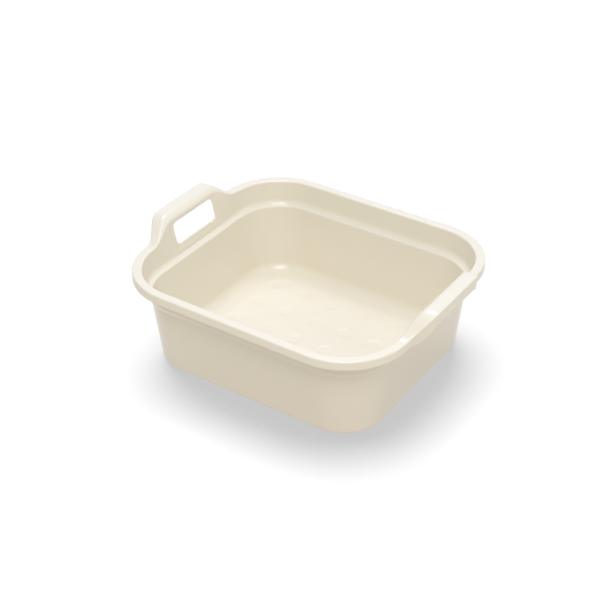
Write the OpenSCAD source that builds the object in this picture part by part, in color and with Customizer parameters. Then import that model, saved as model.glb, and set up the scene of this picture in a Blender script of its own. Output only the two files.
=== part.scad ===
// Washing up bowl, one plastic moulding with a turned-out rim and two raised hand grips.
// The long side runs along X with a grip at each end, the front faces -Y, and the
// origin is the middle of the foot plane, so the bowl stands on z = 0.
// The walls are one cross-section in (u, z), where u is measured inwards from the
// rim's outer edge. It is carried round a rounded rectangle and cut at the lines
// where the moulding changes form: base, lower wall, upper wall, rim and grips.

/* [Rim] */
// Length of the rim, without the grips
rim_length = 369; // [320:1:440]
// Width of the rim, front to back
rim_width = 328; // [290:1:400]
// Height of the rim's flat top above the ground
rim_height = 130; // [118:1:160]
// Radius of the rim's outer corners
corner_r = 82; // [76:1:84]
// Width of the rim's flat top
rim_w = 11.5; // [10:0.5:14]
// Depth of the skirt that hangs from the rim's outer edge
skirt_h = 11; // [7:0.5:15]
// How far the skirt's lower edge flares out
skirt_flare = 0.5; // [0:0.1:1.5]

/* [Walls] */
// Thickness of the walls, the floor and the rim
wall_t = 2; // [1.6:0.1:2.6]
// Height of the upper wall, from the rim's top down to the ledge
upper_wall_h = 33.5; // [28:0.5:38]
// How far the upper wall leans in on its way down
upper_wall_run = 5.5; // [3:0.5:8]
// Width of the ledge inside
ledge_w = 4.5; // [2:0.5:7]
// Fall of the ledge across its width
ledge_fall = 2.8; // [1.5:0.1:4]
// Draft of the lower wall
wall_draft = 6.2; // [3:0.1:7]

/* [Base] */
// Radius inside, where the lower wall turns into the floor
floor_r = 14; // [8:0.5:18]
// Radius outside, where the lower wall turns under the base
heel_r = 9; // [5:0.5:10]
// Width of the flat border round the sunk middle of the floor
border_w = 12; // [6:0.5:20]
// Depth of the sunk middle of the floor
sunk_h = 0.6; // [0.3:0.1:1.2]
// Height of the round feet under the base
foot_h = 1.4; // [0.8:0.1:2.5]
// Diameter of a foot
foot_d = 24; // [14:1:30]
// Depth of the shallow dish in the floor over each foot
dish_h = 0.9; // [0.4:0.1:1.2]
// Distance between the feet
foot_pitch = 45; // [36:1:60]

/* [Grips] */
// How far the grip bar's top stands above the rim
grip_rise = 23.5; // [14:0.5:32]
// How far the grip bar stands out past the rim
grip_reach = 17.5; // [10:0.5:24]
// Length of the grip bar's level top
grip_bar = 84; // [70:1:92]
// Length of the leg that falls from the bar to the rim, on each side
grip_leg = 43; // [36:1:46]
// Lean of the grip's inner face
grip_lean = 13.5; // [10.5:0.5:18]
// Depth of the skirt under the grip bar
grip_skirt_h = 14.5; // [12:0.5:18]
// Length that the grip's skirt takes to fall to the rim's skirt
grip_skirt_leg = 30; // [24:1:34]
// Radius along the inner top edge of the bar
grip_round = 9; // [4:0.5:10]
// Width of the hand hole
hole_w = 79; // [60:1:84]
// Depth of material left over the hand hole, down from the bar's top
hole_cover = 12.5; // [11.5:0.5:15]
// Height of the hand hole
hole_h = 28; // [18:0.5:30]
// Radius of the hand hole's corners
hole_r = 6; // [3:0.5:9]

/* [Hidden] */
$fn = 96;
cream = "#efe6d6";
half_length = rim_length / 2;
half_width = rim_width / 2;
draft_run = tan(wall_draft);

// Radii of the small edges, and how many steps their arcs take
edge_r = 1.8;
inner_edge_r = 2.5;
ledge_r = 3;
under_bar_r = 0.5;
arc_steps = 5;

// Heights along the wall
border_under_z = foot_h + sunk_h;
border_top_z = border_under_z + wall_t;
ledge_z = rim_height - upper_wall_h;
ledge_top_z = ledge_z + ledge_fall;
rim_under_z = rim_height - wall_t;
skirt_z = rim_height - skirt_h;
// The ledge's underside hangs a little lower, so that the ledge keeps its thickness
ledge_drop = 0.7 * wall_t;

// Insets of the wall's inner face
ledge_top_u = rim_w + upper_wall_run;
ledge_u = ledge_top_u + ledge_w;
function lower_u(z) = ledge_u + (ledge_z - z) * draft_run;

// The base ends where the floor's round begins
base_u = lower_u(border_top_z) + floor_r * tan(45 - wall_draft / 2);
sunk_u = base_u + border_w;

// A grip begins just above the ledge and ends where its legs reach the rim
grip_half = grip_bar / 2 + grip_leg;
grip_foot_z = ledge_top_z + ledge_r;
slack = 1;

// Points of an arc that rounds the corner b, between a and c, with radius r
function unit(v) = v / norm(v);
function corner_arc(a, b, c, r) =
    let (p = unit(a - b), q = unit(c - b))
    let (half = acos(p * q) / 2)
    let (centre = b + unit(p + q) * r / sin(half))
    let (from = b + p * r / tan(half) - centre, to = b + q * r / tan(half) - centre)
    [for (i = [0:arc_steps])
        centre + unit(from * (1 - i / arc_steps) + to * i / arc_steps) * r];

// A path whose corners are rounded, each by its own radius, where 0 leaves it sharp
function rounded(pts, radii) =
    [for (i = [0:len(pts) - 1])
        let (n = len(pts), a = pts[(i + n - 1) % n], b = pts[i], c = pts[(i + 1) % n])
        each radii[i] > 0 ? corner_arc(a, b, c, radii[i]) : [b]];

// The whole wall in one outline, from the floor up the inside, over the rim and down the outside
wall_points = [
    [base_u, border_top_z],
    [lower_u(border_top_z), border_top_z],
    [ledge_u, ledge_z],
    [ledge_top_u, ledge_top_z],
    [rim_w, rim_height],
    [0, rim_height],
    [-skirt_flare, skirt_z],
    [wall_t - skirt_flare, skirt_z],
    [wall_t, rim_under_z],
    [rim_w + wall_t * upper_wall_run / upper_wall_h - wall_t, rim_under_z],
    [ledge_top_u - wall_t, ledge_top_z - ledge_drop],
    [ledge_u - wall_t, ledge_z - ledge_drop],
    [lower_u(border_under_z) - wall_t, border_under_z],
    [base_u, border_under_z]
];
wall_radii = [0, floor_r, ledge_r, ledge_r, inner_edge_r, edge_r, 0, 0, 0, 0, ledge_r, ledge_r, heel_r, 0];

module wall_section() {
    polygon(rounded(wall_points, wall_radii));
}

// The part of the wall's section between two heights
module wall_slice(low, high) {
    intersection() {
        wall_section();
        translate([-skirt_flare - slack, low])
            square([base_u + skirt_flare + 2 * slack, high - low]);
    }
}

// Carries a section in (u, z) round the rim's rounded rectangle
module carry_round() {
    for (sx = [-1, 1], sy = [-1, 1])
        translate([sx * (half_length - corner_r), sy * (half_width - corner_r), 0])
            mirror([sx < 0 ? 1 : 0, 0, 0])
                mirror([0, sy < 0 ? 1 : 0, 0])
                    rotate_extrude(angle = 90)
                        translate([corner_r, 0])
                            mirror([1, 0])
                                children();
    for (turn = [0, 180])
        rotate([0, 0, turn]) {
            translate([half_length, 0, 0])
                carry_straight(2 * (half_width - corner_r))
                    children();
            rotate([0, 0, 90])
                translate([half_width, 0, 0])
                    carry_straight(2 * (half_length - corner_r))
                        children();
        }
}

// Carries a section along Y, with u pointing to -X
module carry_straight(length) {
    translate([0, length / 2, 0])
        rotate([90, 0, 0])
            linear_extrude(length)
                mirror([1, 0])
                    children();
}

// A rectangle with round corners, inset by u from the rim's outline
module inset_plate(u, low, high) {
    a = half_length - u;
    b = half_width - u;
    r = corner_r - u;
    translate([0, 0, low])
        linear_extrude(high - low)
            union() {
                square([2 * (a - r), 2 * b], center = true);
                square([2 * a, 2 * (b - r)], center = true);
                for (sx = [-1, 1], sy = [-1, 1])
                    translate([sx * (a - r), sy * (b - r)])
                        circle(r);
            }
}

// Middles of the feet, as many as fit on the sunk floor, centred along X and along Y
foot_room_x = half_length - sunk_u - foot_d / 2;
foot_room_y = half_width - sunk_u - foot_d / 2;
foot_cols = floor(2 * foot_room_x / foot_pitch) + 1;
foot_rows = floor(2 * foot_room_y / foot_pitch) + 1;
foot_places = [for (i = [0:foot_cols - 1], j = [0:foot_rows - 1])
    [(i - (foot_cols - 1) / 2) * foot_pitch, (j - (foot_rows - 1) / 2) * foot_pitch, 0]];
foot_taper = foot_h;
dish_floor_r = foot_d / 4;

// The floor: a flat border, a sunk middle, and round feet under it with a shallow dish over each
module base() {
    color(cream)
        difference() {
            union() {
                difference() {
                    inset_plate(base_u, border_under_z, border_top_z);
                    inset_plate(sunk_u, border_top_z - sunk_h, border_top_z + slack);
                }
                inset_plate(sunk_u, foot_h, border_top_z - sunk_h);
                for (p = foot_places)
                    translate(p)
                        cylinder(h = foot_h + wall_t / 2, r1 = foot_d / 2 - foot_taper, r2 = foot_d / 2);
            }
            for (p = foot_places)
                translate(p + [0, 0, border_top_z - sunk_h - dish_h])
                    cylinder(h = dish_h, r1 = dish_floor_r, r2 = foot_d / 2);
        }
}

// The deep drafted wall, with its round into the floor
module lower_wall() {
    color(cream)
        carry_round()
            wall_slice(border_under_z, ledge_z - ledge_drop - ledge_r);
}

// The ledge and the steeper wall over it, open above the ledge where the grips stand
module upper_wall() {
    color(cream)
        difference() {
            carry_round()
                intersection() {
                    wall_slice(ledge_z - ledge_drop - ledge_r, rim_under_z);
                    translate([wall_t + slack / 2, 0])
                        square([base_u, rim_height]);
                }
            grip_space(grip_foot_z);
        }
}

// The turned-out rim and its skirt, between the two grips
module rim() {
    color(cream)
        difference() {
            carry_round()
                union() {
                    wall_slice(rim_under_z, rim_height);
                    intersection() {
                        wall_slice(skirt_z, rim_under_z);
                        translate([-skirt_flare, 0])
                            square([wall_t + skirt_flare, rim_height]);
                    }
                }
            grip_space(skirt_z - slack);
        }
}

// The room over height low that both grips fill
module grip_space(low) {
    for (side = [-1, 1])
        translate([side * half_length, 0, low + (rim_height - low + slack) / 2])
            cube([2 * ledge_u, 2 * grip_half, rim_height - low + slack], center = true);
}

// Eases from 0 at t = 0 to 1 at t = 1 along half a cosine
function ease(t) = (1 - cos(180 * max(0, min(1, t)))) / 2;
// 1 along the bar, falling to 0 at the foot of each leg
function grip_shape(y) = 1 - ease((abs(y) - grip_bar / 2) / grip_leg);
// The skirt's lower edge falls nearer the middle than the bar does, and draws in more slowly
skirt_short = 16;
skirt_lag = 9;
grip_skirt_bar = grip_half - skirt_short - grip_skirt_leg;
function skirt_fall(y) = 1 - ease((abs(y) - grip_skirt_bar) / grip_skirt_leg);
function skirt_reach(y) = 1 - ease((abs(y) - grip_skirt_bar) / (grip_skirt_leg + skirt_lag));

// Heights and places of the grip's edges, at distance y from its middle
grip_top_z = rim_height + grip_rise;
function top_z(y) = rim_height + grip_rise * grip_shape(y);
function hem_z(y) = skirt_z + (grip_top_z - grip_skirt_h - skirt_z) * skirt_fall(y);
function edge_x(y) = half_length + grip_reach * grip_shape(y);
function hem_x(y) = half_length + skirt_flare + grip_reach * skirt_reach(y);
// The inner face leans out from the upper wall's own slope to the grip's lean
upper_slope = upper_wall_run / (upper_wall_h - ledge_fall);
function slope(y) = upper_slope + (tan(grip_lean) - upper_slope) * grip_shape(y);
grip_foot_x = half_length - rim_w - (rim_height - grip_foot_z) * upper_slope;
function face_x(y, z) = grip_foot_x + (z - grip_foot_z) * slope(y);
function round_r(y) = inner_edge_r + (grip_round - inner_edge_r) * grip_shape(y);

// The grip's closed cross-section at y, as points in (x, z)
function grip_section(y) =
    rounded([
        [face_x(y, grip_foot_z), grip_foot_z],
        [face_x(y, top_z(y)), top_z(y)],
        [edge_x(y), top_z(y)],
        [hem_x(y), hem_z(y)],
        [hem_x(y) - wall_t, hem_z(y)],
        [edge_x(y) - wall_t, top_z(y) - wall_t],
        [face_x(y, top_z(y) - wall_t) + wall_t, top_z(y) - wall_t],
        [face_x(y, grip_foot_z) + wall_t, grip_foot_z]
    ], [0, round_r(y), edge_r, 0, 0, 0, max(under_bar_r, round_r(y) - wall_t), 0]);

// How far the rounded corner draws a point in at y, past the rim's straight side
function corner_in(x, y) =
    let (r = corner_r + x - half_length, past = max(0, abs(y) - half_width + corner_r))
    r - sqrt(r * r - past * past);

// Sections stand closer together along the legs than along the bar
bar_steps = 4;
leg_steps = 16;
stations = [
    for (i = [0:leg_steps - 1]) -grip_half + (grip_half - grip_skirt_bar) * i / leg_steps,
    for (i = [0:bar_steps]) grip_skirt_bar * (2 * i / bar_steps - 1),
    for (i = [1:leg_steps]) grip_skirt_bar + (grip_half - grip_skirt_bar) * i / leg_steps
];

// The section is a bent strip, so an end is closed by a row of faces across it.
// Each point on its upper side pairs with the point under it.
function across(i, m) =
    i <= arc_steps + 1 ? m - 1 - i : i <= 2 * arc_steps + 2 ? m - 3 - arc_steps : m - 4 - arc_steps;
function cap(m, first, turned) =
    [for (i = [0:2 * arc_steps + 2])
        let (p = across(i, m), q = across(i + 1, m))
        let (face = p == q ? [i, i + 1, p] : [i, i + 1, q, p])
        [for (k = [0:len(face) - 1]) first + face[turned ? len(face) - 1 - k : k]]];

// A solid whose cross-sections are the grip's, one at each station
module grip_body() {
    sections = [for (y = stations) [for (p = grip_section(y)) [p.x - corner_in(p.x, y), y, p.y]]];
    m = len(sections[0]);
    last = len(stations) - 1;
    polyhedron(
        points = [for (s = sections) each s],
        faces = [
            each cap(m, 0, false),
            each cap(m, last * m, true),
            for (j = [0:last - 1], i = [0:m - 1])
                let (k = (i + 1) % m)
                each [[j * m + i, (j + 1) * m + k, j * m + k], [j * m + i, (j + 1) * m + i, (j + 1) * m + k]]
        ]
    );
}

// The hand hole, a round-cornered passage through the grip's inner wall
hole_top_z = grip_top_z - hole_cover;
module hand_hole() {
    reach_in = half_length - 2 * ledge_u;
    reach_out = half_length + grip_reach - wall_t - slack;
    translate([reach_in, 0, hole_top_z - hole_h / 2])
        rotate([90, 0, 90])
            linear_extrude(reach_out - reach_in)
                union() {
                    square([hole_w - 2 * hole_r, hole_h], center = true);
                    square([hole_w, hole_h - 2 * hole_r], center = true);
                    for (sx = [-1, 1], sy = [-1, 1])
                        translate([sx * (hole_w / 2 - hole_r), sy * (hole_h / 2 - hole_r)])
                            circle(hole_r);
                }
}

// A grip: the raised rim, its deeper skirt and the leaning inner wall with the hand hole
module grip() {
    color(cream)
        difference() {
            grip_body();
            hand_hole();
        }
}

module right_grip() {
    grip();
}

module left_grip() {
    mirror([1, 0, 0])
        grip();
}

base();
lower_wall();
upper_wall();
rim();
left_grip();
right_grip();
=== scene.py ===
import bpy
import math
import numpy as np
from mathutils import Matrix, Vector


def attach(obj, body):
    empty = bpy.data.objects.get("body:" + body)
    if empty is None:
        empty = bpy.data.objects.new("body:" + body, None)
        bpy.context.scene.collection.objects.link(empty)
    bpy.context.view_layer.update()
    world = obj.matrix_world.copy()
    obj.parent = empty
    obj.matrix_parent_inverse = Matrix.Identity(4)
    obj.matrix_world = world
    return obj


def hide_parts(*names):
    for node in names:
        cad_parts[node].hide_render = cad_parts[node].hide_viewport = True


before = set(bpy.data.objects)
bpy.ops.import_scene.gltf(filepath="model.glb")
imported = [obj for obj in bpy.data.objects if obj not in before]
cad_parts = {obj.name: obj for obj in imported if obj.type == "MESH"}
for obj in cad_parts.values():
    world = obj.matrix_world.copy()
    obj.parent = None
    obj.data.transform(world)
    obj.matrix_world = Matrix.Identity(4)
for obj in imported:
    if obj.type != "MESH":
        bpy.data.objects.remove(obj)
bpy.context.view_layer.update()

mm = 0.001

# the bowl's walls and floor, in millimetres and degrees, as in the part's source; only the ledge is
# drawn a little broader and softer than there, as the photograph shows it
bowl = {
    "rimLength": 369, "rimWidth": 328, "rimHeight": 130, "cornerRadius": 82,
    "rimTop": 11.5, "skirtDepth": 11, "skirtFlare": 0.5, "wall": 2.0,
    "upperWall": 33.5, "upperRun": 4.5, "ledge": 5.5, "ledgeFall": 4.2, "ledgeRound": 12, "draft": 6.2,
    "floorRadius": 14, "heelRadius": 9, "border": 12, "sunk": 0.6, "sunkSoft": 7.0,
    "footHeight": 1.4, "footRadius": 12, "footSoft": 2.0, "footPitch": 45, "footColumns": 6, "footRows": 5,
    "dishDepth": 0.7, "dishRadius": 5.0, "dishSoft": 7.5,
    "rimEdge": 1.8, "rimInnerEdge": 2.5, "ledgeRadius": 3, "hemRadius": 0.7, "underRadius": 1.0, "faceStraight": 12,
}

# the two hand grips, the same at both ends
grip = {
    "rise": 23.5, "reach": 17.5, "bar": 84, "leg": 43, "lean": 13.5,
    "skirtDepth": 14.5, "skirtBar": 78, "skirtFall": 30, "skirtDraw": 39, "barRadius": 11,
    "holeWidth": 79, "holeCover": 12.5, "holeHeight": 28, "holeRadius": 6,
    "padHalf": 45.5, "padEdge": 3.0, "padSunk": 0.7, "padFootSoft": 3.0, "padTopZ": 142, "padTopSoft": 5.0,
    "bendSoft": 5.0, "ringCrowd": 1.4,
}

# how many steps the surface takes along and across
steps = {
    "sideLong": 96, "sideGrip": 104, "corner": 40, "holeSide": 28,
    "floorRound": 12, "lowerWall": 9, "ledgeRound": 5, "ledgeSoft": 9, "face": 20, "barRound": 9,
    "rimTop": 3, "edgeRound": 6, "skirt": 5, "hemRound": 2, "underRound": 7, "heelRound": 10,
    "holeRings": 6, "lipRound": 6, "border": 12,
}


# half a cosine from 0 at t = 0 to 1 at t = 1
def ease(t):
    return (1 - np.cos(np.pi * np.clip(t, 0, 1))) / 2


# the rim's outline, a rounded rectangle walked once anticlockwise from the right side's front end:
# for each station its point on the outer edge, the outward direction, and the distance along the
# edge from the middle of the nearest grip
def rimStations():
    a, b, r = bowl["rimLength"] / 2, bowl["rimWidth"] / 2, bowl["cornerRadius"]
    nGrip, nLong, nTurn = steps["sideGrip"], steps["sideLong"], steps["corner"]
    runX, runY = a - r, b - r
    turn = np.arange(nTurn) / nTurn * np.pi / 2
    alongY = -runY + 2 * runY * np.arange(nGrip) / nGrip
    alongX = runX - 2 * runX * np.arange(nLong) / nLong
    far = runY + r * np.pi / 2
    sideRight = (np.full(nGrip, a), alongY, np.zeros(nGrip), alongY)
    turnRight = (runX + r * np.cos(turn), runY + r * np.sin(turn), turn, runY + r * turn)
    sideBack = (alongX, np.full(nLong, b), np.full(nLong, np.pi / 2), np.full(nLong, far))
    turnBack = (-runX - r * np.sin(turn), runY + r * np.cos(turn), turn + np.pi / 2, far - r * turn)
    half = [np.concatenate(part) for part in zip(sideRight, turnRight, sideBack, turnBack)]
    x, y, angle, along = half
    x, y = np.concatenate([x, -x]), np.concatenate([y, -y])
    angle, along = np.concatenate([angle, angle + np.pi]), np.concatenate([along, along])
    return np.stack([x, y], 1), np.stack([np.cos(angle), np.sin(angle)], 1), along


edgePoint, outward, along = rimStations()
nStations = len(along)
away = np.abs(along)
runGrip = bowl["rimWidth"] / 2 - bowl["cornerRadius"]
gripEnd = runGrip + bowl["cornerRadius"] * np.pi / 2 / steps["corner"]
print("rim outline:", nStations, "stations")

# how far the bar rises, and how far its skirt hangs and reaches, at each station
barShape = 1 - ease((away - grip["bar"] / 2) / grip["leg"])
hemShape = 1 - ease((away - grip["skirtBar"] / 2) / grip["skirtFall"])
hemReach = 1 - ease((away - grip["skirtBar"] / 2) / grip["skirtDraw"])
topZ = bowl["rimHeight"] + grip["rise"] * barShape
skirtZ = bowl["rimHeight"] - bowl["skirtDepth"]
barHemZ = bowl["rimHeight"] + grip["rise"] - grip["skirtDepth"]
hemZ = skirtZ + (barHemZ - skirtZ) * hemShape
edgeU = -grip["reach"] * barShape
hemU = -bowl["skirtFlare"] - grip["reach"] * hemReach

# heights and insets that the whole wall shares
wall = bowl["wall"]
draftRun = math.tan(math.radians(bowl["draft"]))
floorZ = bowl["footHeight"] + bowl["sunk"] + wall
underZ = bowl["footHeight"] + bowl["sunk"]
ledgeZ = bowl["rimHeight"] - bowl["upperWall"]
ledgeTopZ = ledgeZ + bowl["ledgeFall"]
ledgeDrop = 0.7 * wall
ledgeTopU = bowl["rimTop"] + bowl["upperRun"]
ledgeU = ledgeTopU + bowl["ledge"]
ledgeAngle = math.atan(bowl["ledgeFall"] / bowl["ledge"])
ledgeTurn = math.atan((bowl["upperWall"] - bowl["ledgeFall"]) / bowl["upperRun"]) - ledgeAngle
edgeTurn = math.radians(90 - bowl["draft"]) - ledgeAngle
ledgeFree = math.hypot(bowl["ledge"], bowl["ledgeFall"]) - bowl["ledgeRadius"] * math.tan(edgeTurn / 2)
ledgeSoftR = min(bowl["ledgeRound"], ledgeFree / math.tan(ledgeTurn / 2))
faceFootZ = ledgeTopZ + ledgeSoftR * math.tan(ledgeTurn / 2)
faceSlope = bowl["upperRun"] / (bowl["upperWall"] - bowl["ledgeFall"])
faceFootU = bowl["rimTop"] + (bowl["rimHeight"] - faceFootZ) * faceSlope
splitZ = ledgeZ - ledgeDrop - bowl["ledgeRadius"]


def lowerU(z):
    return ledgeU + (ledgeZ - z) * draftRun


baseU = lowerU(floorZ) + bowl["floorRadius"] * math.tan(math.radians(45 - bowl["draft"] / 2))
sunkU = baseU + bowl["border"]


# inset of the upper wall's inner face: it leans out at the wall's slope, and over a grip it bends
# softly to the grip's lean; a shallow flat pad round the hand hole is pressed outwards
def faceU(shape, distance, z):
    rise = z - faceFootZ
    bend = np.sqrt(np.maximum(rise, 0) ** 2 + grip["bendSoft"] ** 2) - grip["bendSoft"]
    gripSlope = math.tan(math.radians(grip["lean"]))
    pad = 1 - ease((distance - grip["padHalf"]) / grip["padEdge"])
    pad = pad * ease(rise / grip["padFootSoft"]) * (1 - ease((z - grip["padTopZ"]) / grip["padTopSoft"])) * shape
    return faceFootU - rise * faceSlope - bend * (gripSlope - faceSlope) * shape - grip["padSunk"] * pad


def unit(v):
    return v / np.linalg.norm(v, axis=-1, keepdims=True)


# replaces the corner b between a and c by an arc of radius r: points on the circle that touches both
# sides, pushed out from the chord; a, b and c hold one (u, z) point for each station
def roundedCorner(a, b, c, r, count):
    p, q = unit(a - b), unit(c - b)
    half = np.arccos((p * q).sum(1))[:, None] / 2
    r = np.ones_like(half) * np.reshape(r, (-1, 1))
    centre = b + unit(p + q) * r / np.sin(half)
    first, last = b + p * r / np.tan(half) - centre, b + q * r / np.tan(half) - centre
    t = np.linspace(0, 1, count + 1)[None, :, None]
    return centre[:, None] + unit(first[:, None] * (1 - t) + last[:, None] * t) * r[:, None]


# straight run between two points with count - 1 points inside it
def between(a, b, count):
    t = np.linspace(0, 1, count + 1)[1:-1]
    return a[:, None] + (b - a)[:, None] * t[None, :, None]


def pair(u, z):
    return np.stack([np.broadcast_to(u, away.shape), np.broadcast_to(z, away.shape)], 1).astype(float)


# the wall's section at every station, one path from the floor up the inside, over the rim,
# under it and down the outside; lines is where each stretch begins
def wallSections():
    lines, parts = {}, []

    def add(name, points):
        lines[name] = sum(p.shape[1] for p in parts)
        parts.append(points)

    barRound = bowl["rimInnerEdge"] + (grip["barRadius"] - bowl["rimInnerEdge"]) * barShape
    padShape = 1 - ease((away - grip["padHalf"]) / grip["padEdge"])
    ledgeRound = ledgeSoftR + (bowl["ledgeRadius"] - ledgeSoftR) * padShape
    nearZ, underTopZ = topZ - bowl["faceStraight"], topZ - wall
    floorStart = pair(baseU, floorZ)
    floorCorner = pair(lowerU(floorZ), floorZ)
    ledgeLow, ledgeHigh = pair(ledgeU, ledgeZ), pair(ledgeTopU, ledgeTopZ)
    faceFoot = pair(faceU(barShape, away, faceFootZ), faceFootZ)
    faceNear = pair(faceU(barShape, away, nearZ), nearZ)
    faceTop = pair(faceU(barShape, away, topZ), topZ)
    edge, hem = pair(edgeU, topZ), pair(hemU, hemZ)
    hemIn, edgeIn = pair(hemU + wall, hemZ), pair(edgeU + wall, underTopZ)
    backTop = pair(faceU(barShape, away, underTopZ) - wall, underTopZ)
    backNear = pair(faceU(barShape, away, nearZ) - wall, nearZ)
    backFoot = pair(faceU(barShape, away, faceFootZ) - wall, faceFootZ)
    ledgeHighOut = pair(ledgeTopU - wall, ledgeTopZ - ledgeDrop)
    ledgeLowOut = pair(ledgeU - wall, ledgeZ - ledgeDrop)
    heel, baseEnd = pair(lowerU(underZ) - wall, underZ), pair(baseU, underZ)

    lowRound = roundedCorner(floorStart, floorCorner, ledgeLow, bowl["floorRadius"], steps["floorRound"])
    ledgeIn = roundedCorner(floorCorner, ledgeLow, ledgeHigh, bowl["ledgeRadius"], steps["ledgeRound"])
    ledgeUp = roundedCorner(ledgeLow, ledgeHigh, faceFoot, ledgeRound, steps["ledgeSoft"])
    barIn = roundedCorner(faceNear, faceTop, edge, barRound, steps["barRound"])
    barOut = roundedCorner(faceTop, edge, hem, bowl["rimEdge"], steps["edgeRound"])
    hemOuter = roundedCorner(edge, hem, hemIn, bowl["hemRadius"], steps["hemRound"])
    hemInner = roundedCorner(hem, hemIn, edgeIn, bowl["hemRadius"], steps["hemRound"])
    underEdge = roundedCorner(hemIn, edgeIn, backTop, bowl["underRadius"], steps["hemRound"])
    underBarRound = np.maximum(bowl["underRadius"], barRound - wall)
    underBar = roundedCorner(edgeIn, backTop, backNear, underBarRound, steps["underRound"])
    ledgeUpOut = roundedCorner(backFoot, ledgeHighOut, ledgeLowOut, ledgeSoftR, steps["ledgeSoft"])
    ledgeInOut = roundedCorner(ledgeHighOut, ledgeLowOut, heel, bowl["ledgeRadius"], steps["ledgeRound"])
    heelRound = roundedCorner(ledgeLowOut, heel, baseEnd, bowl["heelRadius"], steps["heelRound"])
    splitIn, splitOut = pair(lowerU(splitZ), splitZ), pair(lowerU(splitZ) - wall, splitZ)

    # heights of the face's lines: over the rim's sides one of them is the rim's underside
    def faceLines(endPoint, inside):
        count = steps["face"]
        t = np.linspace(0, 1, count + 1)[None, :]
        z = faceFootZ + (endPoint[:, 1:] - faceFootZ) * t
        u = faceU(barShape[:, None], away[:, None], z) - (0 if inside else wall)
        u = u + (endPoint[:, :1] - u[:, -1:]) * t ** 3
        return np.stack([u, z], 2)[:, :-1]

    add("floorStart", floorStart[:, None])
    add("floorRound", lowRound)
    add("lowerWall", between(lowRound[:, -1], splitIn, steps["lowerWall"]))
    add("split", splitIn[:, None])
    add("ledgeIn", ledgeIn)
    add("ledgeUp", ledgeUp)
    add("face", faceLines(barIn[:, 0], True))
    add("barIn", barIn)
    add("barTop", between(barIn[:, -1], barOut[:, 0], steps["rimTop"]))
    add("barOut", barOut)
    add("skirt", between(barOut[:, -1], hemOuter[:, 0], steps["skirt"]))
    add("hemOuter", hemOuter)
    add("hemInner", hemInner)
    add("skirtIn", between(hemInner[:, -1], underEdge[:, 0], steps["skirt"]))
    add("underEdge", underEdge)
    add("underTop", between(underEdge[:, -1], underBar[:, 0], steps["rimTop"]))
    add("underBar", underBar)
    add("back", faceLines(underBar[:, -1], False)[:, ::-1])
    add("ledgeUpOut", ledgeUpOut)
    add("ledgeInOut", ledgeInOut)
    add("splitOut", splitOut[:, None])
    add("outerWall", between(splitOut, heelRound[:, 0], steps["lowerWall"]))
    add("heel", heelRound)
    add("baseEnd", baseEnd[:, None])
    return np.concatenate(parts, 1), lines


sections, lines = wallSections()
nLines = sections.shape[1]
wallPoints = np.empty((nStations, nLines, 3))
wallPoints[..., :2] = edgePoint[:, None] - outward[:, None] * sections[..., :1]
wallPoints[..., 2] = sections[..., 1]
print("wall:", nStations, "x", nLines, "points")

# line numbers where the pieces part
lineSplit, lineSplitOut = lines["split"], lines["splitOut"]
lineFoot, lineFootOut = lines["face"], lines["back"] + steps["face"] - 1
lineRim, lineRimOut = lines["barIn"], lines["back"] - 1


# how far a point (x, y) lies in from the rim's outline
def insetAt(x, y):
    r = bowl["cornerRadius"]
    dx = np.abs(x) - (bowl["rimLength"] / 2 - r)
    dy = np.abs(y) - (bowl["rimWidth"] / 2 - r)
    outside = np.hypot(np.maximum(dx, 0), np.maximum(dy, 0))
    return r - np.where((dx > 0) | (dy > 0), outside, np.maximum(dx, dy))


# distance from a point (x, y) to the middle of the nearest foot
def footDistance(x, y):
    pitch = bowl["footPitch"]
    columns, rows = bowl["footColumns"], bowl["footRows"]
    col = np.clip(np.round(x / pitch + (columns - 1) / 2), 0, columns - 1) - (columns - 1) / 2
    row = np.clip(np.round(y / pitch + (rows - 1) / 2), 0, rows - 1) - (rows - 1) / 2
    return np.hypot(x - col * pitch, y - row * pitch)


# height of the floor's upper side: a border, a soft step down to the sunk middle, and a shallow
# dish with a soft edge over each foot
def floorTop(x, y):
    step = ease((insetAt(x, y) - sunkU) / bowl["sunkSoft"])
    dish = 1 - ease((footDistance(x, y) - bowl["dishRadius"]) / bowl["dishSoft"])
    return floorZ - bowl["sunk"] * step - bowl["dishDepth"] * dish


# height of the underside: it follows the step, and the round feet stand out of it
def floorUnder(x, y):
    soft = bowl["footSoft"]
    step = ease((insetAt(x, y) - sunkU) / soft + 0.4)
    foot = 1 - ease((footDistance(x, y) - bowl["footRadius"]) / soft + 0.9)
    return underZ - bowl["sunk"] * step - bowl["footHeight"] * foot


# the floor's grid: straight rings across the border, then a patch blended from its four sides,
# whose corners lie half way round the outline's turns
def floorPlan():
    insets = baseU + bowl["border"] * np.linspace(0, 1, steps["border"] + 1)
    rings = edgePoint[None] - outward[None] * insets[:, None, None]
    ring = rings[-1]
    nHalf = steps["corner"] // 2
    nSide, nEnd = steps["sideLong"] + 2 * nHalf, steps["sideGrip"] + 2 * nHalf
    start = steps["sideGrip"] + nHalf
    order = (start + np.arange(nStations)) % nStations
    back, left = order[:nSide + 1], order[nSide:nSide + nEnd + 1]
    front = order[nSide + nEnd:2 * nSide + nEnd + 1]
    right = np.append(order[2 * nSide + nEnd:], order[0])
    top, bottom = ring[back][::-1], ring[front]
    west, east = ring[left][::-1], ring[right]
    s = np.linspace(0, 1, nSide + 1)[:, None, None]
    t = np.linspace(0, 1, nEnd + 1)[None, :, None]
    mixX = (1 - s) * west[None] + s * east[None]
    mixY = (1 - t) * bottom[:, None] + t * top[:, None]
    low = (1 - s) * bottom[0] + s * bottom[-1]
    high = (1 - s) * top[0] + s * top[-1]
    corners = (1 - t) * low + t * high
    patch = mixX + mixY - corners
    edges = {"top": back[::-1], "bottom": front, "west": left[::-1], "east": right}
    return rings, patch, edges


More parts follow.
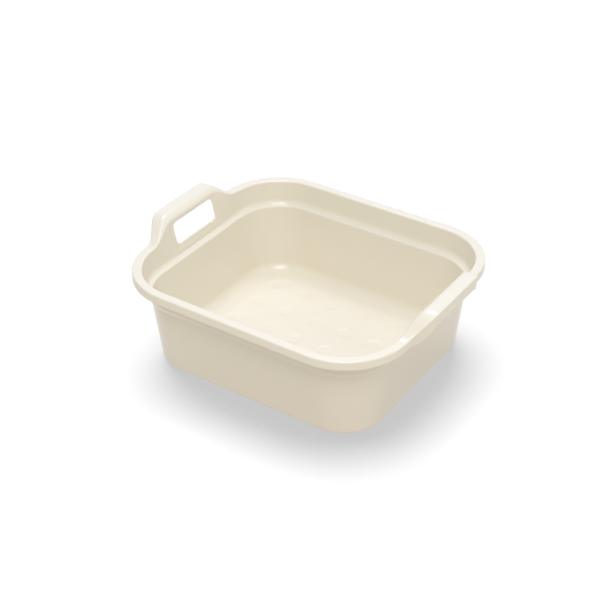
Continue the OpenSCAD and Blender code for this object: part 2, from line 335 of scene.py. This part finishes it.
rings, patch, patchEdges = floorPlan()
print("floor patch:", patch.shape[0], "x", patch.shape[1], "points")

# one list of points for the whole moulding, with the number of each grid's points
allPoints = []


def addPoints(points):
    start = sum(len(p) for p in allPoints)
    allPoints.append(points.reshape(-1, 3))
    return start + np.arange(points.reshape(-1, 3).shape[0]).reshape(points.shape[:-1])


wallIds = addPoints(wallPoints)


# flat (x, y) points lifted to the height there
def raised(flat, height):
    return np.concatenate([flat, height(flat[..., 0], flat[..., 1])[..., None]], -1)


# numbers the points of the floor's rings and patch at one height; edgeIds are the wall's own points
def floorIds(height, edgeIds):
    ringIds = np.empty((len(rings), nStations), int)
    ringIds[0] = edgeIds
    ringIds[1:] = addPoints(raised(rings[1:], height))
    ids = np.empty(patch.shape[:2], int)
    ids[1:-1, 1:-1] = addPoints(raised(patch[1:-1, 1:-1], height))
    last = ringIds[-1]
    ids[:, -1], ids[:, 0] = last[patchEdges["top"]], last[patchEdges["bottom"]]
    ids[0], ids[-1] = last[patchEdges["west"]], last[patchEdges["east"]]
    return ringIds, ids


topRings, topPatch = floorIds(floorTop, wallIds[:, 0])
underRings, underPatch = floorIds(floorUnder, wallIds[:, -1])


# quads between neighbouring points of a grid, turned over if asked
def gridFaces(ids, turned=False):
    quads = np.stack([ids[:-1, :-1], ids[1:, :-1], ids[1:, 1:], ids[:-1, 1:]], -1).reshape(-1, 4)
    return quads[:, ::-1] if turned else quads


def closedRing(ids):
    return np.concatenate([ids, ids[:1]], 0)


# each hand hole: on the inner and the outer side a rectangle of the wall's grid is left out, rings
# of points shrink from its border to the hole's outline, and half a circle joins the two sides
def handHole(middle):
    half = steps["holeSide"]
    cols = (middle + np.arange(-half, half + 1)) % nStations
    nFace = steps["face"]
    innerRows = lines["face"] + np.arange(2, nFace)
    outerRows = lines["back"] + np.arange(nFace - 3, -1, -1)

    def border(rows):
        up, low = wallIds[cols][:, rows[-1]], wallIds[cols][:, rows[0]]
        first, last = wallIds[cols[0]][rows], wallIds[cols[-1]][rows]
        return np.concatenate([low[:-1], last[:-1], up[::-1][:-1], first[::-1][:-1]])

    innerBorder, outerBorder = border(innerRows), border(outerRows)
    nCols, nRows = len(cols) - 1, len(innerRows) - 1
    across, upwards = np.linspace(-1, 1, nCols + 1), np.linspace(-1, 1, nRows + 1)
    p = np.concatenate([across[:-1], np.ones(nRows), across[:0:-1], -np.ones(nRows)])
    q = np.concatenate([-np.ones(nCols), upwards[:-1], np.ones(nCols), upwards[:0:-1]])
    halfW, halfH, r = grip["holeWidth"] / 2, grip["holeHeight"] / 2, grip["holeRadius"]
    midZ = bowl["rimHeight"] + grip["rise"] - grip["holeCover"] - halfH

    # the outline grown by d: straight sides, with corner points thrown onto the corner's circle
    def outline(d):
        y, z = p * (halfW + d), q * (halfH + d)
        cy, cz = np.sign(y) * (halfW - r), np.sign(z) * (halfH - r)
        dy, dz = y - cy, z - cz
        inCorner = (np.abs(y) > halfW - r) & (np.abs(z) > halfH - r)
        length = np.hypot(dy, dz)
        y = np.where(inCorner, cy + dy / length * (r + d), y)
        z = np.where(inCorner, cz + dz / length * (r + d), z)
        return y, z + midZ

    sideX = np.sign(wallPoints[middle, 0, 0])
    wallList = wallPoints.reshape(-1, 3)

    # the point at (y, z) on the inner face, or depth further out
    def place(y, z, depth):
        shape = 1 - ease((np.abs(y) - grip["bar"] / 2) / grip["leg"])
        x = bowl["rimLength"] / 2 - faceU(shape, np.abs(y), z) + depth
        return np.stack([sideX * x, sideX * y, z], -1)

    lip = wall / 2
    t = np.linspace(0, 1, steps["holeRings"] + 1)[1:, None]
    t = 1 - (1 - t) ** grip["ringCrowd"]
    nearY, nearZ = outline(lip)
    borderIn, borderOut = wallList[innerBorder], wallList[outerBorder]

    def shrink(borderPoints, depth):
        y, z = borderPoints[:, 1] * sideX, borderPoints[:, 2]
        return place(y + (nearY - y) * t, z + (nearZ - z) * t, depth)

    turn = np.linspace(0, np.pi, steps["lipRound"] + 1)[1:-1]
    lipRows = [place(*outline(lip * (1 - math.sin(a))), wall * (1 - math.cos(a)) / 2) for a in turn]
    inner, outer = addPoints(shrink(borderIn, 0.0)), addPoints(shrink(borderOut, wall)[::-1])
    lipIds = addPoints(np.stack(lipRows))
    ids = np.concatenate([innerBorder[None], inner, lipIds, outer, outerBorder[None]], 0)
    ids = np.concatenate([ids, ids[:, :1]], 1)
    return cols, innerRows, outerRows, gridFaces(ids.T, True)


middles = [steps["sideGrip"] // 2, nStations // 2 + steps["sideGrip"] // 2]
holes = [handHole(m) for m in middles]
points = np.concatenate(allPoints)

# the wall's quads, numbered by station and line, without those that the hand holes leave out
wallGrid = closedRing(wallIds)
quadIds = np.stack([wallGrid[:-1, :-1], wallGrid[1:, :-1], wallGrid[1:, 1:], wallGrid[:-1, 1:]], -1)[..., ::-1]
keepQuad = np.ones(quadIds.shape[:2], bool)
for cols, innerRows, outerRows, _ in holes:
    keepQuad[np.ix_(cols[:-1], np.arange(innerRows[0], innerRows[-1]))] = False
    keepQuad[np.ix_(cols[:-1], np.arange(outerRows[-1], outerRows[0]))] = False

# which cells between two stations belong to a grip, and which of them lie on the right
isGrip = away < gripEnd - 0.01
gripCell = isGrip | np.roll(isGrip, -1)
rightCell = edgePoint[:, 0] + np.roll(edgePoint[:, 0], -1) > 0
allFaces = {"base": [], "lower_wall": [], "upper_wall": [], "rim": [], "left_grip": [], "right_grip": []}
cutFaces = {name: [] for name in allFaces}


def takeQuads(cells, first, last):
    part = quadIds[cells][:, first:last]
    return part[keepQuad[cells][:, first:last]]


everyCell = np.ones(nStations, bool)
allFaces["base"] += [gridFaces(closedRing(topRings.T)), gridFaces(topPatch),
                     gridFaces(closedRing(underRings.T), True), gridFaces(underPatch, True)]
allFaces["lower_wall"] += [takeQuads(everyCell, 0, lineSplit), takeQuads(everyCell, lineSplitOut, nLines - 1)]
for cells, low, lowOut in ((~gripCell, lineRim, lineRimOut), (gripCell, lineFoot, lineFootOut)):
    allFaces["upper_wall"] += [takeQuads(cells, lineSplit, low), takeQuads(cells, lowOut, lineSplitOut)]
allFaces["rim"] += [takeQuads(~gripCell, lineRim, lineRimOut)]
gripSides = {"right_grip": gripCell & rightCell, "left_grip": gripCell & ~rightCell}
for (name, side), hole in zip(gripSides.items(), holes):
    allFaces[name] += [takeQuads(side, lineFoot, lineFootOut), hole[3]]


# a strip of quads across the wall's thickness between an inner and an outer line
def strip(cells, inner, outer):
    quads = np.stack([wallGrid[:-1, inner], wallGrid[1:, inner], wallGrid[1:, outer], wallGrid[:-1, outer]], -1)
    return quads[cells]


cutFaces["base"].append(strip(everyCell, 0, nLines - 1)[:, ::-1])
cutFaces["lower_wall"] += [strip(everyCell, 0, nLines - 1), strip(everyCell, lineSplit, lineSplitOut)[:, ::-1]]
cutFaces["upper_wall"] += [strip(everyCell, lineSplit, lineSplitOut),
                           strip(~gripCell, lineRim, lineRimOut)[:, ::-1],
                           strip(gripCell, lineFoot, lineFootOut)[:, ::-1]]
cutFaces["rim"].append(strip(~gripCell, lineRim, lineRimOut))
for name, side in gripSides.items():
    cutFaces[name].append(strip(side, lineFoot, lineFootOut))

# the ends where a grip meets the rim: the whole section for each, and a strip for the upper wall
endFaces = {name: [] for name in allFaces}
for station in np.flatnonzero(gripCell != np.roll(gripCell, 1)):
    entering = gripCell[station]
    name = "right_grip" if edgePoint[station, 0] > 0 else "left_grip"
    gripLoop = wallIds[station, lineFoot:lineFootOut + 1]
    rimLoop = wallIds[station, lineRim:lineRimOut + 1]
    up = wallIds[station, lineFoot:lineRim + 1]
    down = wallIds[station, lineRimOut:lineFootOut + 1][::-1]
    quads = np.stack([up[:-1], up[1:], down[1:], down[:-1]], -1)
    endFaces[name].append(gripLoop[::-1] if entering else gripLoop)
    endFaces["rim"].append(rimLoop if entering else rimLoop[::-1])
    cutFaces["upper_wall"].append(quads if entering else quads[:, ::-1])


# smooth normals of the whole moulding: each point takes the sum of its outer faces' area normals,
# so that the pieces join without a line
def smoothNormals():
    quads = np.concatenate([np.concatenate(group) for group in allFaces.values()])
    diagonalA = points[quads[:, 2]] - points[quads[:, 0]]
    diagonalB = points[quads[:, 3]] - points[quads[:, 1]]
    areaNormal = np.cross(diagonalA, diagonalB)
    total = np.zeros_like(points)
    for corner in range(4):
        np.add.at(total, quads[:, corner], areaNormal)
    return total / np.maximum(np.linalg.norm(total, axis=1, keepdims=True), 1e-12)


normals = smoothNormals()


# on the floor the normal comes from the height's own slope
def slopeNormals(ids, height, sign):
    x, y = points[ids, 0], points[ids, 1]
    h = 0.05
    slopeX = (height(x + h, y) - height(x - h, y)) / (2 * h)
    slopeY = (height(x, y + h) - height(x, y - h)) / (2 * h)
    normals[ids] = sign * unit(np.stack([-slopeX, -slopeY, np.ones_like(x)], -1))


for ids in (topRings[1:], topPatch):
    slopeNormals(ids, floorTop, 1)
for ids in (underRings[1:], underPatch):
    slopeNormals(ids, floorUnder, -1)
print("moulding:", len(points), "points")


# sRGB hex to linear colour
def linear(hexColour):
    channels = [int(hexColour[i:i + 2], 16) / 255 for i in (1, 3, 5)]
    return [c / 12.92 if c <= 0.04045 else ((c + 0.055) / 1.055) ** 2.4 for c in channels] + [1.0]


# adds one node with its settings, its inputs' values and its links
def addNode(tree, kind, settings=None, inputs=None, links=None):
    node = tree.nodes.new(kind)
    for key, value in (settings or {}).items():
        setattr(node, key, value)
    for key, value in (inputs or {}).items():
        node.inputs[key].default_value = value
    for key, socket in (links or {}).items():
        tree.links.new(socket, node.inputs[key])
    return node


plastic = {
    "cream": "#dfd5bc", "roughness": 0.24, "roughnessSpread": 0.02, "ior": 1.49,
    "flowSize": 0.16, "grainSize": 0.0011, "grainDepth": 0.00002, "orangeSize": 0.006, "orangeDepth": 0.00004,
}


# injection-moulded polypropylene: a satin, slightly waxy skin with soft broad highlights, a sheen
# that varies faintly where the melt flowed, and a grain drawn coarser than the real one so it shows
def mouldedPolypropylene():
    material = bpy.data.materials.new("injectionMouldedPolypropylene")
    material.use_nodes = True
    tree = material.node_tree
    tree.nodes.clear()
    place = addNode(tree, "ShaderNodeTexCoord").outputs["Object"]
    flow, grain, orange = (
        addNode(tree, "ShaderNodeTexNoise", None, {"Scale": 1 / plastic[size], "Detail": detail}, {"Vector": place})
        for size, detail in (("flowSize", 1.0), ("grainSize", 2.0), ("orangeSize", 1.0)))
    low, high = plastic["roughness"] - plastic["roughnessSpread"], plastic["roughness"] + plastic["roughnessSpread"]
    rough = addNode(tree, "ShaderNodeMapRange", {"interpolation_type": "SMOOTHSTEP"},
                    {"From Min": 0.2, "From Max": 0.8, "To Min": low, "To Max": high}, {"Value": flow.outputs["Fac"]})
    skin = addNode(tree, "ShaderNodeBump", None, {"Strength": 0.35, "Distance": plastic["orangeDepth"]},
                   {"Height": orange.outputs["Fac"]})
    bump = addNode(tree, "ShaderNodeBump", None, {"Strength": 0.25, "Distance": plastic["grainDepth"]},
                   {"Height": grain.outputs["Fac"], "Normal": skin.outputs["Normal"]})
    shader = addNode(tree, "ShaderNodeBsdfPrincipled", None,
                     {"Base Color": linear(plastic["cream"]), "IOR": plastic["ior"], "Metallic": 0.0},
                     {"Roughness": rough.outputs["Result"], "Normal": bump.outputs["Normal"]})
    addNode(tree, "ShaderNodeOutputMaterial", None, None, {"Surface": shader.outputs["BSDF"]})
    return material


cream = mouldedPolypropylene()


# puts one piece's faces into a mesh: only the points it uses, outer faces smooth with the whole
# moulding's normals, cut faces flat
def makePiece(name):
    outer = np.concatenate(allFaces[name])
    cut = np.concatenate(cutFaces[name])
    ends = endFaces[name]
    loops = np.concatenate([outer.ravel(), cut.ravel()] + [e.ravel() for e in ends])
    sizes = np.concatenate([np.full(len(outer) + len(cut), 4), np.array([len(e) for e in ends], int)]).astype(int)
    used, loops = np.unique(loops, return_inverse=True)
    mesh = bpy.data.meshes.new(name)
    mesh.vertices.add(len(used))
    mesh.vertices.foreach_set("co", (points[used] * mm).astype(np.float32).ravel())
    mesh.loops.add(len(loops))
    mesh.loops.foreach_set("vertex_index", loops.astype(np.int32))
    mesh.polygons.add(len(sizes))
    starts = np.concatenate([[0], np.cumsum(sizes)[:-1]]).astype(np.int32)
    mesh.polygons.foreach_set("loop_start", starts)
    mesh.update(calc_edges=True)
    mesh.validate(clean_customdata=False)
    mesh.polygons.foreach_set("use_smooth", np.ones(len(sizes), bool))
    flat = np.empty(len(sizes) * 3, np.float32)
    mesh.polygons.foreach_get("normal", flat)
    loopNormals = np.repeat(flat.reshape(-1, 3), sizes, axis=0)
    loopNormals[:outer.size] = normals[used][loops[:outer.size]]
    mesh.normals_split_custom_set(loopNormals.tolist())
    piece = bpy.data.objects.new("bowl_" + name, mesh)
    bpy.context.scene.collection.objects.link(piece)
    mesh.materials.append(cream)
    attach(piece, "root")
    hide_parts(name)
    print("piece", name + ":", len(sizes), "faces")
    return piece


pieces = [makePiece(name) for name in allFaces]

# the studio in metres: the light from above and from below, the floor's size and white, its painted
# contact shadow, and each lamp's place, size, power and colour
studio = {
    "skyAbove": "#ffffff", "skyBelow": "#fff5ec", "aboveStrength": 0.18, "belowStrength": 0.86,
    "floorReach": 6.0, "wallHeight": 5.0, "floorWhite": 1.03, "contactShade": 0.48,
    "openFrom": 0.44, "openTo": 0.87, "shadeReach": 0.105, "shadeFrom": (-0.46, 0.46, 0.76),
    "lamps": {
        "overheadLight": ((-0.10, 0.20, 1.50), 1.00, 4.4, "#bcd4ff"),
        "backLight": ((-0.95, 1.38, 1.13), 1.10, 1.2, "#aac8ff"),
        "keyLight": ((-0.45, 0.66, 1.60), 0.55, 13.6, "#dcdffc"),
        "rightLight": ((1.50, 0.50, 0.90), 1.00, 4.2, "#f6faff"),
        "frontLight": ((0.50, -0.80, 1.60), 0.80, 22.8, "#fdfeff"),
    },
    "gamma": 1.35,
}


# a glowing white floor which the lamps don't light; a soft shadow is painted into its glow, dimmed
# where occlusion, leaned towards the side that the light comes from, finds the bowl
def floorGlowWithPaintedShadow():
    material = bpy.data.materials.new("glowingFloorPaintedShadow")
    material.use_nodes = True
    tree = material.node_tree
    tree.nodes.clear()
    x, y, z = studio["shadeFrom"]
    lean = addNode(tree, "ShaderNodeCombineXYZ", None, {"X": x, "Y": y, "Z": z}).outputs["Vector"]
    # painted shadow: the floor's glow follows this occlusion by the bowl, not the lamps
    openness = addNode(tree, "ShaderNodeAmbientOcclusion", {"samples": 16},
                       {"Distance": studio["shadeReach"]}, {"Normal": lean})
    glow = addNode(tree, "ShaderNodeMapRange", None,
                   {"From Min": studio["openFrom"], "From Max": studio["openTo"],
                    "To Min": studio["contactShade"], "To Max": studio["floorWhite"]},
                   {"Value": openness.outputs["AO"]})
    shader = addNode(tree, "ShaderNodeEmission", None, {"Color": linear(studio["skyAbove"])},
                     {"Strength": glow.outputs["Result"]})
    addNode(tree, "ShaderNodeOutputMaterial", None, None, {"Surface": shader.outputs["Emission"]})
    return material


# the studio's round floor, turned up all round into a low wall, so it is white behind the bowl too
def makeFloor():
    mesh = bpy.data.meshes.new("studioFloor")
    sides, reach, height = 60, studio["floorReach"], studio["wallHeight"]
    turns = [2 * math.pi * i / sides for i in range(sides)]
    corners = [(reach * math.cos(a), reach * math.sin(a), z) for z in (0, height) for a in turns]
    walls = [(i, (i - 1) % sides, sides + (i - 1) % sides, sides + i) for i in range(sides)]
    mesh.from_pydata(corners, [], [tuple(range(sides))] + walls)
    floor = bpy.data.objects.new("studioFloor", mesh)
    bpy.context.scene.collection.objects.link(floor)
    mesh.materials.append(floorGlowWithPaintedShadow())
    floor.visible_diffuse = floor.visible_shadow = False


# an even white sky over the horizon and a warmer one under it, in place of the floor's bounce
def makeSky():
    world = bpy.data.worlds.new("studioSky")
    bpy.context.scene.world = world
    world.use_nodes = True
    tree = world.node_tree
    sky = tree.nodes["Background"]
    place = addNode(tree, "ShaderNodeTexCoord").outputs["Generated"]
    height = addNode(tree, "ShaderNodeSeparateXYZ", None, None, {"Vector": place}).outputs["Z"]
    horizon = addNode(tree, "ShaderNodeMapRange", None, {"From Min": -0.05, "From Max": 0.05}, {"Value": height})
    above = horizon.outputs["Result"]
    colour = addNode(tree, "ShaderNodeMix", {"data_type": "RGBA"},
                     {"A": linear(studio["skyBelow"]), "B": linear(studio["skyAbove"])}, {"Factor": above})
    strength = addNode(tree, "ShaderNodeMapRange", None,
                       {"To Min": studio["belowStrength"], "To Max": studio["aboveStrength"]}, {"Value": above})
    tree.links.new(colour.outputs["Result"], sky.inputs["Color"])
    tree.links.new(strength.outputs["Result"], sky.inputs["Strength"])


# a square lamp that looks at the middle of the bowl
def makeLight(name, place, size, power, colour):
    data = bpy.data.lights.new(name, "AREA")
    data.shape = "SQUARE"
    data.size = size
    data.energy = power
    data.color = linear(colour)[:3]
    light = bpy.data.objects.new(name, data)
    aim = Vector((0, 0, 0.06)) - Vector(place)
    light.matrix_world = Matrix.Translation(place) @ aim.to_track_quat("-Z", "Y").to_matrix().to_4x4()
    bpy.context.scene.collection.objects.link(light)


# the photograph's view: turned 34.4 degrees to the right of the front and 34.2 degrees up
view = {
    "azimuth": 34.392, "elevation": 34.166, "roll": -0.574, "distance": 1.7522,
    "target": (-0.069153, 0.080013, 0.0), "focal": 1318.76, "pixels": 600, "sensor": 36.0,
}


def makeCamera():
    az, el, roll = (math.radians(view[k]) for k in ("azimuth", "elevation", "roll"))
    back = Vector((math.sin(az) * math.cos(el), -math.cos(az) * math.cos(el), math.sin(el)))
    right = Vector((math.cos(az), math.sin(az), 0))
    up = back.cross(right)
    sideways = right * math.cos(roll) + up * math.sin(roll)
    upright = up * math.cos(roll) - right * math.sin(roll)
    data = bpy.data.cameras.new("photoCamera")
    data.sensor_width = view["sensor"]
    data.lens = view["sensor"] * view["focal"] / view["pixels"]
    data.clip_end = 20
    camera = bpy.data.objects.new("photoCamera", data)
    turn = Matrix((sideways, upright, back)).transposed().to_4x4()
    camera.matrix_world = Matrix.Translation(Vector(view["target"]) + back * view["distance"]) @ turn
    bpy.context.scene.collection.objects.link(camera)
    bpy.context.scene.camera = camera


makeFloor()
makeSky()
for name, lamp in studio["lamps"].items():
    makeLight(name, *lamp)
makeCamera()
picture = bpy.context.scene.view_settings
picture.view_transform, picture.look, picture.gamma = "Standard", "None", studio["gamma"]
print("studio ready")
